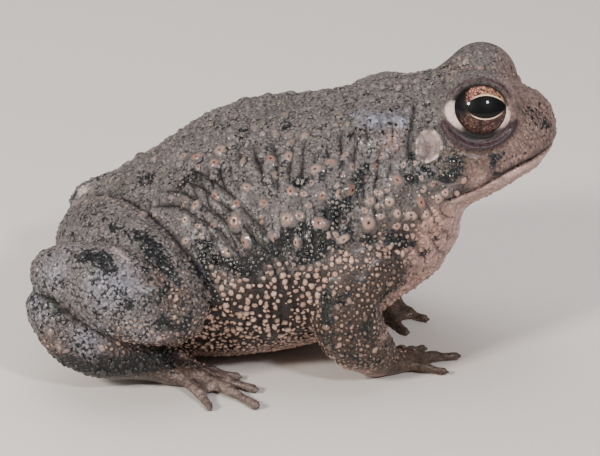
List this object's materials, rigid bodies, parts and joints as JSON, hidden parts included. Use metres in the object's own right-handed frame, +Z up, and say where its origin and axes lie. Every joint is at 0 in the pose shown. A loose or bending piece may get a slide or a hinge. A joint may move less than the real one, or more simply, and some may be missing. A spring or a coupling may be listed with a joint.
{
  "type": "sitting toad",
  "caption": "Life-size still model of a plump, warty Texas toad sitting with its legs folded and its head raised, resting on its feet and belly.",
  "frame": {"origin": "middle of the part's bounding box, on the floor that the toad sits on", "axes": "+X forward, from the heels towards the snout; +Y to the toad's left; +Z up"},
  "size_m": [0.0817, 0.0645, 0.0481],
  "materials": {
    "skin": "dull, warty",
    "lip": "dull",
    "eye": "glossy",
    "eardrum": "satin",
    "gland": "satin",
    "toe": "dull"
  },
  "bodies": {
    "root": {"head": "skin", "lower_jaw": "lip", "chest": "skin", "belly": "skin", "rump": "skin", "eye_right": "eye", "eye_left": "eye", "eardrum_right": "eardrum", "eardrum_left": "eardrum", "parotoid_right": "gland", "parotoid_left": "gland", "upper_arm_right": "skin", "upper_arm_left": "skin", "forearm_right": "skin", "forearm_left": "skin", "hand_right": "toe", "hand_left": "toe", "thigh_right": "skin", "thigh_left": "skin", "shank_right": "skin", "shank_left": "skin", "tarsus_right": "skin", "tarsus_left": "skin", "foot_right": "toe", "foot_left": "toe"}
  },
  "joints": []
}
